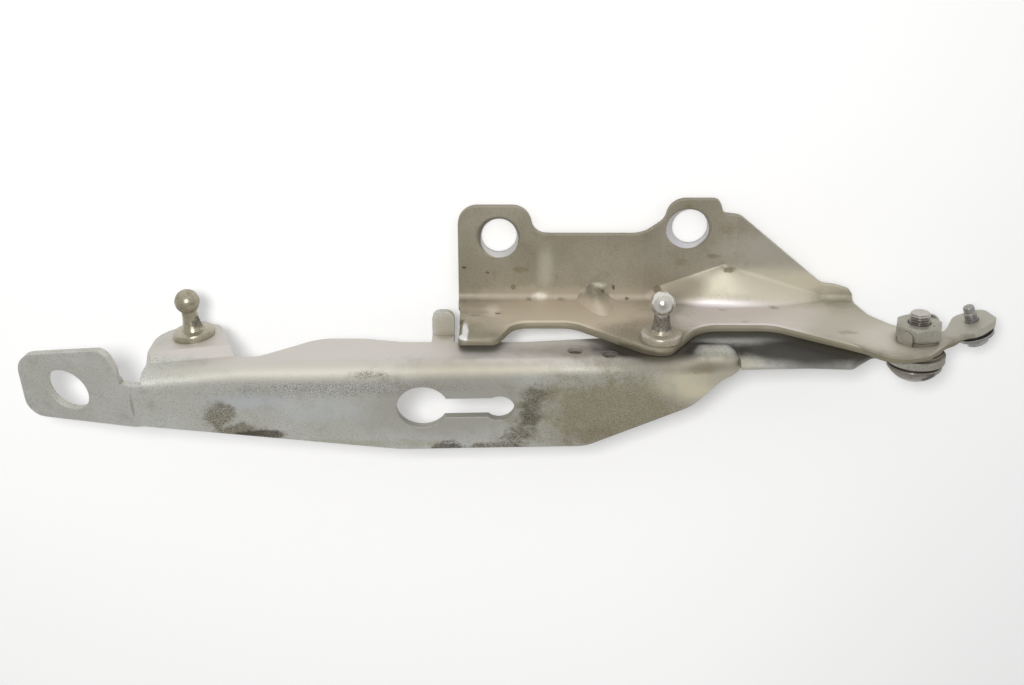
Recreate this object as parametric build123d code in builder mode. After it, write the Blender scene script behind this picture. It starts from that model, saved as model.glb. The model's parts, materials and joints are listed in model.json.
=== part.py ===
from build123d import *
import math
import os

os.makedirs("parts", exist_ok=True)

# Bonnet hinge of a car, right in the closed position.
# X points to the rear of the car, Y to its outside and Z up, all in millimetres.
# The origin lies midway between the two body bolt holes, on the face that meets the body.

# Sheet metal
sheet = 3.0
bend_inside = 2.5
bend_outside = bend_inside + sheet

# Body bracket: flat flange on the body and an upright plate below it in the view from above
bolt_spacing = 79.0
bolt_offset = 4.0
bolt_hole_radius = 7.4
bolt_hole_land = 1.4
bolt_hole_rim_radius = 8.8
bolt_hole_rim_shift = (-0.9, -0.3)
upright_face = -29.5
flange_left = -56.5
flange_end = 109.0
upright_left = -55.5
lug_top = 11.0
rear_lug_top = 14.0
lug_inner_left = -27.5
mid_edge = -1.0
front_edge = 28.2
rear_edge_foot = 71.0
rear_edge_end = 57.1
lip_edge = 45.0
lip_return_foot = 25.0
lip_return_reach = 2.0
lip_return_radius = 4.0
stud_lobe = 10.0
flange_step = 0.8
flange_levels = ((-24.0, 0), (-17.0, 1), (21.0, 1), (28.0, 0), (53.5, 0), (59.0, 1))
corner_dart_tip = (55.0, 15.7)
corner_dart_foot = ((12.0, 0), (27.0, 3.2), (41.0, 7.4), (56.0, 9.6), (71.0, 9.2), (87.0, 5.2), (102.0, 0))
dart_blend = 2.0
bend_dart_tip = (-1.0, 7.5)
bend_dart_foot = ((-8.0, 0), (4.0, 19.0), (9.0, 0))

# Pivot
pivot_x = 126.0
pivot_z = 44.8
pivot_shoulder_radius = 6.0
thread_radius = 4.0
running_clearance = 0.05
thrust_washer_thickness = 1.4
bush_flange_thickness = 1.5
bush_wall = 1.2
bush_flange_radius = 10.5
head_washer_thickness = 1.2
head_radius = 10.8
head_height = 7.4
dome_height = 6.0
head_washer_radius = 9.8
nut_across_flats = 17.0
nut_height = 6.0
nut_chamfer = 0.8
thread_above_nut = 4.1
thread_chamfer = 0.7
lock_washer_thickness = 1.0
lock_washer_radius = 8.4
lock_lip_width = 6.5
lip_clearance = 0.1
lock_lips = ((2, 5.5), (5, 7.6))
nut_turn = 17.0

# Ball studs for the gas strut
ball_radius = 5.0
ball_height = 15.0
ball_flat_radius = 1.6
stud_neck_radius = 3.3
stud_neck_foot_radius = 3.9
stud_collar_radius = 8.3
stud_collar_height = 3.0
stud_collar_chamfer = 0.8
stud_shank_radius = 4.0
rivet_radius = 5.6
rivet_height = 1.5
bracket_stud_x = 24.7
bracket_stud_z = 45.2
arm_stud_x = -162.3
arm_stud_z = 31.5

# Bonnet arm: tilted web on top, upright side plate, bent ear and pivot eye
web_height = 55.6
web_fall_along = 0.035
web_fall_across = 0.2126
arm_left = -178.8
arm_web_end = 57.0
tab_corner = -142.0
tab_turn = 6.0
tab_bend_radius = 80.0
tab_rise = 3.5
tab_ramp_below_web = 7.6
tab_ramp_drop = 4.0
cheek_start = 28.0
cheek_full = 42.0
cheek_rise = 3.7
cheek_foot_below_web = 13.6
toe_radius = 8.0
ear_bend_x = -183.0
ear_bend_angle = 20.0
ear_hole_radius = 9.6
keyhole_entry_radius = 10.3
keyhole_seat_radius = 6.1
keyhole_slot_width = 9.6
keyhole_entry = (-69.5, -20.6)
keyhole_seat = (-39.0, -21.6)
web_edge = -41.8
web_edge_left = -28.0
side_edge = 35.0
side_edge_left = 31.5
side_edge_right = 29.0
side_edge_cheek = 21.0
side_edge_tab = 49.0
tab_head_radius = 11.0
ear_length = 51.0
ear_edge_root = -27.6
ear_bend_radius = 12.0
ear_hole = (-29.2, -16.7)
notch_width = 8.6
notch_bottom = -8.0
nose_below_web = 0.6
nose_waist = 1.2
nose_end = 99.0
nose_rounding = 2.6
neck_x = 105.0
neck_below_pivot = 0.6
lug_left = -66.5
lug_width = 9.0
lug_z = 24.5
lug_reach = 10.0
small_holes = ((-8.9, 43.5), (4.6, 46.8))
eye_radius = 11.6
small_hole_radius = 3.2

# Outboard ear of the bracket with its screw
outer_ear_rise = 3.4
outer_ear_tilt = 20.0
outer_ear_bend = 3.0
outer_screw_x = 150.0
outer_screw_z = 34.6
outer_screw_radius = 2.45
outer_shank_radius = 2.8
outer_screw_length = 6.6
rubber_washer_radius = 7.2
rubber_washer_thickness = 2.4
steel_washer_radius = 7.6
steel_washer_thickness = 1.3
outer_screw_flats = 8.0
outer_screw_head = 3.6
outer_screw_chamfer = 0.6

# Places worked out from the sizes above
upright_back = upright_face - sheet
thrust_stack = thrust_washer_thickness + bush_flange_thickness + 2 * running_clearance
arm_face = upright_back - thrust_stack
arm_back = arm_face - sheet
web_normal = Vector(web_fall_along, -web_fall_across, 1).normalized()
web_plane = Plane(origin=(0, arm_face, web_height), x_dir=(1, 0, -web_fall_along), z_dir=web_normal)
ear_cosine = math.cos(math.radians(ear_bend_angle))
ear_sine = math.sin(math.radians(ear_bend_angle))
ear_plane = Plane(
    web_plane.from_local_coords(Vector(ear_bend_x, 0, 0)),
    x_dir=web_plane.x_dir * ear_cosine + web_normal * ear_sine,
    z_dir=web_normal * ear_cosine - web_plane.x_dir * ear_sine,
)
tab_along = Vector(-math.cos(math.radians(tab_turn)), -math.sin(math.radians(tab_turn)), 0)
tab_out = Vector(-math.sin(math.radians(tab_turn)), math.cos(math.radians(tab_turn)), 0)
tab_plane = Plane(origin=(tab_corner, arm_face, 0), x_dir=-tab_along, z_dir=-tab_out).offset(-tab_rise)
arm_stud_plane = Plane(
    tab_plane.from_local_coords(Vector((arm_stud_x - tab_corner) / math.cos(math.radians(tab_turn)), arm_stud_z, 0)),
    x_dir=-tab_along,
    z_dir=tab_out,
)
bracket_stud_plane = Plane(
    origin=(bracket_stud_x, upright_face, bracket_stud_z), x_dir=(1, 0, 0), z_dir=(0, 1, 0)
)
body_bolts = ((-bolt_spacing / 2, -bolt_offset / 2), (bolt_spacing / 2, bolt_offset / 2))
outer_cosine = math.cos(math.radians(outer_ear_tilt))
outer_sine = math.sin(math.radians(outer_ear_tilt))
outer_along = Vector(outer_cosine, outer_sine, 0)
outer_out = Vector(-outer_sine, outer_cosine, 0)
outer_seat = Vector(outer_screw_x, upright_face + outer_ear_rise, outer_screw_z)
outer_ear_root = outer_screw_x - outer_ear_rise / math.tan(math.radians(outer_ear_tilt))
outer_ear_far = outer_seat + outer_along * 20
neck_length = arm_left - ear_bend_x + 0.2
ear_notch_side = arm_left - notch_width - ear_bend_x
tab_ramp_top = web_height - tab_ramp_below_web
cheek_foot = web_height - cheek_foot_below_web
nose_edge = web_height - nose_below_web
edge_slope = (web_edge - web_edge_left) / (-79.0 - arm_left)
rear_edge_slope = (rear_edge_end - front_edge - 3.0) / (flange_end - rear_edge_foot)
pivot_end_start = flange_end - 6.0
pivot_end_edge = rear_edge_end - (flange_end - pivot_end_start) * rear_edge_slope
reach = 120.0


def side_plane(y):
    """Upright plane at y that looks outboard, with X to the rear and Z up."""
    return Plane(origin=(0, y, 0), x_dir=(1, 0, 0), z_dir=(0, -1, 0))


def pivot_plane(y, turn=0.0):
    """Plane across the pivot axis at y, looking outboard, with X turned up from the rear."""
    across = (math.cos(math.radians(turn)), 0, math.sin(math.radians(turn)))
    return Plane(origin=(pivot_x, y, pivot_z), x_dir=across, z_dir=(0, 1, 0))


def outer_plane(height):
    """Plane across the axis of the outer screw, height above the outboard face of its ear."""
    return Plane(outer_seat + outer_out * height, x_dir=outer_along, z_dir=outer_out)


def outline(*corners):
    """Closed outline of straight runs, each corner given as across, up and its radius."""
    points = [corner[:2] for corner in corners]
    radii = [corner[2] for corner in corners]
    with BuildLine(mode=Mode.PRIVATE) as path:
        FilletPolyline(*points, radius=radii, close=True)
    make_face(path.edges())


def arm_form(inset):
    """Solid behind the outer skin of the bent arm, drawn in by inset on every side."""
    face = arm_face - inset
    end = arm_web_end - inset
    left = arm_left - inset
    tab_drop = (tab_corner - left) * math.tan(math.radians(tab_turn))
    corner = Vector(tab_corner, arm_face, 0)
    tab_face = corner + tab_out * (tab_rise - inset)
    tab_far = tab_face + tab_along * (tab_corner - left + sheet)
    ramp_dir = tab_out * tab_ramp_drop + Vector(0, 0, tab_rise)
    ramp = Plane(origin=(tab_corner, arm_face, tab_ramp_top), z_dir=ramp_dir).offset(-inset)
    cheek_ramp = Plane(origin=(0, arm_face, cheek_foot), z_dir=(0, -1, 1)).offset(inset)
    with BuildPart() as tab:
        with BuildSketch(Plane.XY):
            outline(
                (tab_face.X, tab_face.Y, 0),
                (tab_far.X, tab_far.Y, 0),
                (tab_far.X, tab_far.Y - 4 * sheet, 0),
                (tab_face.X, tab_face.Y - 4 * sheet, 0),
            )
        extrude(amount=web_height)
        split(bisect_by=ramp, keep=Keep.BOTTOM)
    with BuildPart() as cheek:
        with BuildSketch(Plane.XY):
            with BuildLine():
                Spline(
                    (cheek_start, face),
                    (cheek_full, face + cheek_rise),
                    tangents=((1, 0), (1, 0)),
                )
                FilletPolyline(
                    (cheek_full, face + cheek_rise),
                    (end, face + cheek_rise),
                    (end, face - 3 * sheet),
                    radius=toe_radius - inset,
                )
                Polyline((end, face - 3 * sheet), (cheek_start, face - 3 * sheet), (cheek_start, face))
            make_face()
        extrude(amount=reach)
        split(bisect_by=cheek_ramp, keep=Keep.TOP)
    with BuildPart() as form:
        with BuildSketch(Plane.XY):
            outline(
                (end, face, 0),
                (tab_corner, face, tab_bend_radius),
                (left, face - tab_drop, 0),
                (left, arm_face - reach, 0),
                (end, arm_face - reach, 0),
            )
        extrude(amount=reach)
        add(tab.part)
        add(cheek.part)
        with BuildSketch(Plane.XY):
            outline(
                (end, face + cheek_rise, toe_radius - inset),
                (left, face + cheek_rise, 0),
                (left, arm_face - reach, 0),
                (end, arm_face - reach, 0),
            )
        extrude(amount=reach, mode=Mode.INTERSECT)
        split(bisect_by=web_plane.offset(-inset), keep=Keep.BOTTOM)
        web = form.faces().filter_by(lambda face: face.normal_at().Z > 0.9).sort_by(SortBy.AREA)[-1]
        fold = web.edges().filter_by(lambda edge: edge.center().Y > arm_face - 3 * sheet)
        fold = fold.filter_by(lambda edge: abs(edge.tangent_at(0.5).X) > 0.5)
        fillet(fold, radius=bend_outside - inset)
    return form.part


def dart_form(tip, foot, inset, stretch):
    """Cone pressed into the bend, from its tip on the flange to its curved foot on the upright."""
    top = Vector(tip[0], upright_face + tip[1], sheet) - Vector(0, 0.45, 0.9) * inset
    depth = tip[1] * stretch
    bottom = top.Z - inset - sheet / 4
    curve = [(top.X + (x - tip[0]) * stretch, top.Z + rise * stretch) for x, rise in foot]
    with BuildPart() as form:
        with BuildSketch(side_plane(top.Y - depth)) as base:
            with BuildLine():
                Spline(*curve)
                Polyline(curve[-1], (curve[-1][0], bottom), (curve[0][0], bottom), curve[0])
            make_face()
        loft([base.sketch.faces()[0], Vertex(*top)])
    return form.part


# Bonnet arm, pressed and bent from one sheet
arm_skin = arm_form(0)
arm_hollow = arm_form(sheet)

with BuildPart() as web_trim:
    with BuildSketch(web_plane):
        outline(
            (arm_left, web_edge_left, 0),
            (-79.0, web_edge, 40),
            (-4.0, web_edge, 14),
            (38.0, -22.0, 18),
            (arm_web_end - 8.0, -9.0, 8),
            (arm_web_end, -4.5, 0),
            (arm_web_end, 30.0, 0),
            (arm_left, 30.0, 0),
        )
    extrude(amount=reach, both=True)

with BuildPart() as side_trim:
    with BuildSketch(side_plane(arm_face)):
        outline(
            (arm_left, reach, 0),
            (arm_left, arm_stud_z - tab_head_radius, tab_head_radius + 2),
            (arm_stud_x + tab_head_radius - 3, arm_stud_z - tab_head_radius, tab_head_radius - 3),
            (-144.0, side_edge_tab, 6),
            (-134.0, side_edge_tab, 8),
            (-112.0, side_edge_left, 16),
            (-94.0, side_edge_left, 16),
            (-78.0, side_edge, 16),
            (-30.0, side_edge, 20),
            (20.0, side_edge_right, 10),
            (36.0, side_edge_cheek, 10),
            (arm_web_end, side_edge_cheek, 0),
            (arm_web_end, reach, 0),
        )
    extrude(amount=reach, both=True)

with BuildPart() as ear_trim:
    with BuildSketch(ear_plane):
        outline(
            (neck_length, ear_edge_root, 0),
            (-ear_length, ear_edge_root - 7.2, 7),
            (-ear_length, -5.0, 11),
            (-9.5, 6.9, 4.5),
            (ear_notch_side, notch_bottom + notch_width / 2, 0),
            (ear_notch_side, notch_bottom, 0),
            (neck_length, notch_bottom, 0),
        )
    extrude(amount=2 * sheet, both=True)
    with BuildSketch(web_plane):
        outline(
            (ear_bend_x, notch_bottom - 2 * sheet, 0),
            (arm_left + 2 * sheet, notch_bottom - 2 * sheet, 0),
            (arm_left + 2 * sheet, web_edge_left + 2 * sheet * edge_slope, 0),
            (ear_bend_x, web_edge_left + (ear_bend_x - arm_left) * edge_slope, 0),
        )
    extrude(amount=2 * sheet, both=True)

with BuildPart() as ear_strip:
    with BuildSketch(Plane(web_plane.origin, x_dir=web_plane.x_dir, z_dir=-web_plane.y_dir)):
        outline(
            (arm_left + 2 * sheet, 0, 0),
            (ear_bend_x, 0, ear_bend_radius + sheet),
            (ear_bend_x - reach * ear_cosine, -reach * ear_sine, 0),
            (ear_bend_x - reach * ear_cosine + sheet * ear_sine, -reach * ear_sine - sheet * ear_cosine, 0),
            (ear_bend_x + sheet * math.tan(math.radians(ear_bend_angle / 2)), -sheet, ear_bend_radius),
            (arm_left + 2 * sheet, -sheet, 0),
        )
    extrude(amount=reach, both=True)
    add(ear_trim.part, mode=Mode.INTERSECT)

with BuildPart() as bonnet_arm:
    add(arm_skin)
    add(arm_hollow, mode=Mode.SUBTRACT)
    add(web_trim.part, mode=Mode.INTERSECT)
    add(side_trim.part, mode=Mode.INTERSECT)
    with BuildSketch(Plane.XY):
        outline(
            (arm_web_end - 2 * sheet, arm_back, 0),
            (arm_web_end + 1, arm_back, 0),
            (arm_web_end + 1, arm_back - 3 * sheet, 0),
            (arm_web_end - 2 * sheet, arm_back - 3 * sheet, 0),
        )
    extrude(amount=web_height - 3 * sheet, mode=Mode.SUBTRACT)
    add(ear_strip.part)
    with BuildSketch(web_plane):
        with Locations((arm_left - notch_width / 2, notch_bottom + reach / 2)):
            SlotOverall(reach, notch_width, rotation=90)
    extrude(amount=3 * sheet, both=True, mode=Mode.SUBTRACT)
    with BuildSketch(side_plane(arm_face)):
        outline(
            (arm_web_end - 12.0, side_edge_cheek, 0),
            (80.0, side_edge_cheek, 20),
            (neck_x, pivot_z - eye_radius + 2, 10),
            (pivot_x, pivot_z - eye_radius + 2, 0),
            (pivot_x, pivot_z - neck_below_pivot, 0),
            (neck_x + 4.0, pivot_z - neck_below_pivot, 4),
            (nose_end, nose_edge, 3),
            (nose_end - 17.0, nose_edge - nose_waist, 20),
            (arm_web_end - 1.5, nose_edge, 0),
            (arm_web_end - 1.5, cheek_foot - 1, 0),
            (arm_web_end - 12.0, cheek_foot - 1, 0),
        )
        with Locations((pivot_x, pivot_z)):
            Circle(eye_radius)
    extrude(amount=sheet)
    nose_rim = bonnet_arm.edges().filter_by(
        lambda edge: edge.center().Z > nose_edge - 2 * nose_waist and arm_web_end < edge.center().X < nose_end
    )
    nose_rim = nose_rim.filter_by(lambda edge: abs(edge.center().Y - arm_face) < 0.01)
    fillet(nose_rim, radius=nose_rounding)
    with BuildSketch(side_plane(arm_face)):
        outline(
            (lug_left, lug_z, 0),
            (lug_left + lug_width, lug_z, 0),
            (lug_left + lug_width, side_edge + sheet, 0),
            (lug_left, side_edge + sheet, 0),
        )
    extrude(amount=sheet)
    with BuildSketch(Plane.XY.offset(lug_z)):
        outline(
            (lug_left, arm_back, 0),
            (lug_left + lug_width, arm_back, 0),
            (lug_left + lug_width, arm_face + lug_reach, 3.5),
            (lug_left, arm_face + lug_reach, 3.5),
        )
    extrude(amount=sheet)
    with BuildSketch(pivot_plane(arm_face)):
        Circle(pivot_shoulder_radius + running_clearance + bush_wall)
    extrude(amount=sheet, both=True, mode=Mode.SUBTRACT)
    with BuildSketch(side_plane(arm_face)):
        with Locations(*small_holes):
            Circle(small_hole_radius)
    extrude(amount=sheet, both=True, mode=Mode.SUBTRACT)
    with BuildSketch(ear_plane):
        with Locations(ear_hole):
            Circle(ear_hole_radius)
    extrude(amount=2 * sheet, both=True, mode=Mode.SUBTRACT)
    with BuildSketch(web_plane):
        with Locations(keyhole_entry):
            Circle(keyhole_entry_radius)
        with Locations(keyhole_seat):
            Circle(keyhole_seat_radius)
        with Locations(((keyhole_entry[0] + keyhole_seat[0]) / 2, (keyhole_entry[1] + keyhole_seat[1]) / 2)):
            Rectangle(keyhole_seat[0] - keyhole_entry[0], keyhole_slot_width)
    extrude(amount=2 * sheet, both=True, mode=Mode.SUBTRACT)
    with BuildSketch(arm_stud_plane):
        Circle(stud_shank_radius)
    extrude(amount=2 * sheet, both=True, mode=Mode.SUBTRACT)

bonnet_arm.part.label = "bonnet_arm"
export_step(bonnet_arm.part, "parts/bonnet_arm.step")


# Body bracket, pressed from one sheet: flange, upright plate, corner darts and outer ear
with BuildPart() as bracket_blank:
    for x, share in ((flange_left, 0), *flange_levels, (flange_end, 1)):
        level = share * flange_step
        with BuildSketch(Plane(origin=(x, 0, level), x_dir=(0, 1, 0), z_dir=(1, 0, 0))):
            outline(
                (40.0, 0, 0),
                (40.0, sheet, 0),
                (upright_face, sheet, bend_inside),
                (upright_face, reach, 0),
                (upright_back, reach, 0),
                (upright_back, 0, bend_outside),
            )
    loft(ruled=True)

with BuildPart() as lip_return:
    with BuildSketch(Plane.XY.offset(lip_return_foot)):
        outline(
            (upright_left + 2 * sheet, upright_face, 0),
            (upright_left, upright_face, lip_return_radius),
            (upright_left, upright_back - lip_return_reach, 0),
            (upright_left + sheet, upright_back - lip_return_reach, 0),
            (upright_left + sheet, upright_back, lip_return_radius - sheet),
            (upright_left + 2 * sheet, upright_back, 0),
        )
    extrude(amount=lip_edge - lip_return_radius - lip_return_foot)

with BuildPart() as flange_trim:
    with BuildSketch(Plane.XY):
        outline(
            (flange_left, -reach, 0),
            (flange_left, lug_top, 8),
            (lug_inner_left, lug_top, 8),
            (lug_inner_left + 2.5, mid_edge, 6),
            (20.0, mid_edge, 14),
            (29.0, 5.0, 6),
            (31.0, rear_lug_top, 8),
            (51.0, rear_lug_top, 3),
            (53.0, 7.8, 1.5),
            (60.0, 7.2, 6),
            (96.0, -23.0, 6),
            (102.0, -23.8, 4),
            (flange_end, -26.0, 3),
            (flange_end, -reach, 0),
        )
    extrude(amount=reach, both=True)

with BuildPart() as upright_trim:
    with BuildSketch(side_plane(upright_face)):
        outline(
            (flange_left, -reach, 0),
            (flange_left, 8.0, 0),
            (upright_left, 12.0, 0),
            (upright_left, lip_return_foot, 0),
            (upright_left + lip_return_radius, lip_return_foot, 0),
            (upright_left + lip_return_radius, lip_edge - lip_return_radius, 0),
            (upright_left, lip_edge - lip_return_radius, 0),
            (upright_left, lip_edge, 3),
            (-40.0, lip_edge, 4),
            (-33.0, front_edge, 8),
            (-10.0, front_edge, 12),
            (bracket_stud_x - 7.0, bracket_stud_z + 8.0, 10),
            (bracket_stud_x - 2.0, bracket_stud_z + stud_lobe, 4),
            (bracket_stud_x + 3.0, bracket_stud_z + stud_lobe, 6),
            (42.0, front_edge + 3.0, 14),
            (rear_edge_foot, front_edge + 3.0, 16),
            (flange_end, rear_edge_end, 0),
            (flange_end, -reach, 0),
        )
    extrude(amount=reach, both=True)

with BuildPart() as pivot_end:
    with BuildSketch(Plane.XY):
        outline(
            (pivot_end_start, upright_face, 0),
            (outer_ear_root, upright_face, outer_ear_bend),
            (outer_ear_far.X, outer_ear_far.Y, 0),
            (outer_ear_far.X + sheet * outer_sine, outer_ear_far.Y - sheet * outer_cosine, 0),
            (
                outer_ear_root + sheet * math.tan(math.radians(outer_ear_tilt / 2)),
                upright_back,
                outer_ear_bend + sheet,
            ),
            (pivot_end_start, upright_back, 0),
        )
    extrude(amount=reach)
    with BuildPart(mode=Mode.PRIVATE) as end_trim:
        with BuildSketch(side_plane(upright_face)):
            outline(
                (pivot_end_start, bend_outside + 1, 0),
                (flange_end - 0.5, bend_outside + 1, 0),
                (112.0, 21.0, 10),
                (119.6, 32.2, 12),
                (137.6, 39.6, 4),
                (145.0, 26.4, 4),
                (156.0, 26.4, 6),
                (158.3, 40.4, 3),
                (150.5, 45.0, 6),
                (145.2, 42.5, 4),
                (136.5, 48.6, 12),
                (127.0, 59.6, 9),
                (117.5, 62.4, 8),
                (110.5, 61.0, 8),
                (pivot_end_start, pivot_end_edge, 0),
            )
        extrude(amount=reach, both=True)
    add(end_trim.part, mode=Mode.INTERSECT)

with BuildPart() as body_bracket:
    add(bracket_blank.part)
    add(flange_trim.part, mode=Mode.INTERSECT)
    add(upright_trim.part, mode=Mode.INTERSECT)
    add(pivot_end.part)
    add(lip_return.part)
    add(dart_form(corner_dart_tip, corner_dart_foot, 0, 1.1))
    dart_foot = body_bracket.edges().filter_by(GeomType.BSPLINE).filter_by(
        lambda edge: abs(edge.center().Y - upright_face) < 0.01 and edge.center().X > corner_dart_foot[0][0]
    )
    fillet(dart_foot, radius=dart_blend)
    add(dart_form(corner_dart_tip, corner_dart_foot, sheet, 1.8), mode=Mode.SUBTRACT)
    add(dart_form(bend_dart_tip, bend_dart_foot, 0, 1.1))
    add(dart_form(bend_dart_tip, bend_dart_foot, sheet, 2.2), mode=Mode.SUBTRACT)
    with BuildSketch(Plane.XY.offset(sheet)):
        with Locations(*body_bolts):
            Circle(bolt_hole_radius)
    extrude(amount=-sheet, mode=Mode.SUBTRACT)
    for x, y in body_bolts:
        with BuildSketch(Plane.XY.offset(bolt_hole_land)):
            with Locations((x, y)):
                Circle(bolt_hole_radius)
        with BuildSketch(Plane.XY.offset(sheet)):
            with Locations((x + bolt_hole_rim_shift[0], y + bolt_hole_rim_shift[1])):
                Circle(bolt_hole_rim_radius)
        loft(mode=Mode.SUBTRACT)
    with BuildSketch(pivot_plane(upright_face)):
        Circle(thread_radius + running_clearance)
    extrude(amount=sheet, both=True, mode=Mode.SUBTRACT)
    with BuildSketch(bracket_stud_plane):
        Circle(stud_shank_radius)
    extrude(amount=2 * sheet, both=True, mode=Mode.SUBTRACT)
    with BuildSketch(outer_plane(0)):
        Circle(outer_shank_radius)
    extrude(amount=2 * sheet, both=True, mode=Mode.SUBTRACT)

body_bracket.part.label = "body_bracket"
export_step(body_bracket.part, "parts/body_bracket.step")


def ring(plane, outer_radius, inner_radius, height):
    """Flat ring that stands on a plane."""
    with BuildPart() as form:
        with BuildSketch(plane):
            Circle(outer_radius)
            Circle(inner_radius, mode=Mode.SUBTRACT)
        extrude(amount=height)
    return form.part


def section_plane(plane):
    """Plane through the normal of another one, with the radius across and the height up."""
    return Plane(origin=plane.origin, x_dir=plane.x_dir, z_dir=plane.x_dir.cross(plane.z_dir))


# Pivot: shoulder bolt clamped to the bracket, arm turning on its flanged bush
bush_inner = pivot_shoulder_radius + running_clearance
head_seat = arm_back - 2 * running_clearance - head_washer_thickness
nut_seat = upright_face + lock_washer_thickness
thread_end = nut_seat + nut_height + thread_above_nut
dome_radius = (head_radius**2 + dome_height**2) / (2 * dome_height)
dome_turn = math.asin(head_radius / dome_radius) / 2
head_rim_height = head_seat - head_height + dome_height

with BuildPart() as pivot_bolt:
    with BuildSketch(section_plane(pivot_plane(0))):
        with BuildLine():
            ThreePointArc(
                (0, head_seat - head_height),
                (
                    dome_radius * math.sin(dome_turn),
                    head_seat - head_height + dome_radius * (1 - math.cos(dome_turn)),
                ),
                (head_radius, head_rim_height),
            )
            Polyline(
                (head_radius, head_rim_height),
                (head_radius, head_seat),
                (pivot_shoulder_radius, head_seat),
                (pivot_shoulder_radius, upright_back),
                (thread_radius, upright_back),
                (thread_radius, thread_end - thread_chamfer),
                (thread_radius - thread_chamfer, thread_end),
                (0, thread_end),
                (0, head_seat - head_height),
            )
        make_face()
    revolve(axis=Axis(pivot_plane(0).origin, pivot_plane(0).z_dir))

pivot_bolt.part.label = "pivot_bolt"
export_step(pivot_bolt.part, "parts/pivot_bolt.step")

thrust_washer = ring(
    pivot_plane(upright_back - running_clearance),
    bush_flange_radius - 0.5,
    bush_inner,
    -thrust_washer_thickness,
)
thrust_washer.label = "thrust_washer"
export_step(thrust_washer, "parts/thrust_washer.step")

with BuildPart() as pivot_bush:
    add(ring(pivot_plane(arm_face), bush_flange_radius, bush_inner, bush_flange_thickness))
    add(ring(pivot_plane(arm_face), bush_inner + bush_wall, bush_inner, -sheet))

pivot_bush.part.label = "pivot_bush"
export_step(pivot_bush.part, "parts/pivot_bush.step")

head_washer = ring(
    pivot_plane(arm_back - running_clearance), head_washer_radius, bush_inner, -head_washer_thickness
)
head_washer.label = "head_washer"
export_step(head_washer, "parts/head_washer.step")

# Lock washer with two lips bent up against the flats of the nut
lip_gap = nut_across_flats / 2 + lip_clearance
with BuildPart() as lock_washer:
    with BuildSketch(pivot_plane(upright_face)):
        Circle(lock_washer_radius)
    extrude(amount=lock_washer_thickness)
    for lip_flat, lip_height in lock_lips:
        lip_angle = nut_turn + lip_flat * 60.0
        lip_plane = pivot_plane(upright_face, lip_angle)
        with BuildSketch(lip_plane):
            with Locations(((lip_gap + lock_washer_thickness) / 2, 0)):
                Rectangle(lip_gap + lock_washer_thickness, lock_lip_width)
        extrude(amount=lock_washer_thickness)
        lip_foot = lip_plane.origin + lip_plane.x_dir * lip_gap
        with BuildSketch(Plane(lip_foot, x_dir=lip_plane.y_dir, z_dir=lip_plane.x_dir)):
            outline(
                (-lock_lip_width / 2, 0, 0),
                (lock_lip_width / 2, 0, 0),
                (lock_lip_width / 2, lip_height, lock_lip_width * 0.45),
                (-lock_lip_width / 2, lip_height, lock_lip_width * 0.45),
            )
        extrude(amount=lock_washer_thickness)
    with BuildSketch(pivot_plane(upright_face)):
        Circle(thread_radius + running_clearance)
    extrude(amount=lock_washer_thickness, mode=Mode.SUBTRACT)

lock_washer.part.label = "lock_washer"
export_step(lock_washer.part, "parts/lock_washer.step")

nut_corner_radius = nut_across_flats / 2 / math.cos(math.pi / 6)
with BuildPart() as pivot_nut:
    with BuildSketch(pivot_plane(nut_seat, nut_turn)):
        RegularPolygon(nut_across_flats / 2, 6, major_radius=False, rotation=30)
        Circle(thread_radius, mode=Mode.SUBTRACT)
    extrude(amount=nut_height)
    with BuildSketch(section_plane(pivot_plane(nut_seat))):
        outline(
            (0, 0, 0),
            (nut_across_flats / 2, 0, 0),
            (nut_corner_radius + 0.1, nut_chamfer, 0),
            (nut_corner_radius + 0.1, nut_height - nut_chamfer, 0),
            (nut_across_flats / 2, nut_height, 0),
            (0, nut_height, 0),
        )
    revolve(axis=Axis(pivot_plane(0).origin, pivot_plane(0).z_dir), mode=Mode.INTERSECT)

pivot_nut.part.label = "pivot_nut"
export_step(pivot_nut.part, "parts/pivot_nut.step")


def ball_stud(seat):
    """Ball stud riveted through the sheet: ball, neck and collar outside, rivet head behind."""
    neck_top = ball_height - math.sqrt(ball_radius**2 - stud_neck_radius**2)
    ball_top = ball_height + math.sqrt(ball_radius**2 - ball_flat_radius**2)
    rivet_end = -sheet - rivet_height
    with BuildPart() as stud:
        with BuildSketch(section_plane(seat)):
            with BuildLine():
                Polyline(
                    (ball_flat_radius, ball_top),
                    (0, ball_top),
                    (0, rivet_end),
                    (rivet_radius - rivet_height, rivet_end),
                    (rivet_radius, rivet_end + rivet_height * 0.7),
                    (rivet_radius, -sheet),
                    (stud_shank_radius, -sheet),
                    (stud_shank_radius, 0),
                    (stud_collar_radius, 0),
                    (stud_collar_radius, stud_collar_height - stud_collar_chamfer),
                    (stud_collar_radius - stud_collar_chamfer, stud_collar_height),
                    (stud_neck_foot_radius, stud_collar_height),
                    (stud_neck_radius, neck_top),
                )
                ThreePointArc(
                    (stud_neck_radius, neck_top),
                    (ball_radius, ball_height),
                    (ball_flat_radius, ball_top),
                )
            make_face()
        revolve(axis=Axis(seat.origin, seat.z_dir))
    return stud.part


bracket_ball_stud = ball_stud(bracket_stud_plane)
bracket_ball_stud.label = "bracket_ball_stud"
export_step(bracket_ball_stud, "parts/bracket_ball_stud.step")

arm_ball_stud = ball_stud(arm_stud_plane)
arm_ball_stud.label = "arm_ball_stud"
export_step(arm_ball_stud, "parts/arm_ball_stud.step")


# Outer ear: hexagon screw from below through a steel washer and a rubber washer
steel_face = -sheet - rubber_washer_thickness
screw_seat = steel_face - steel_washer_thickness

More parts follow.
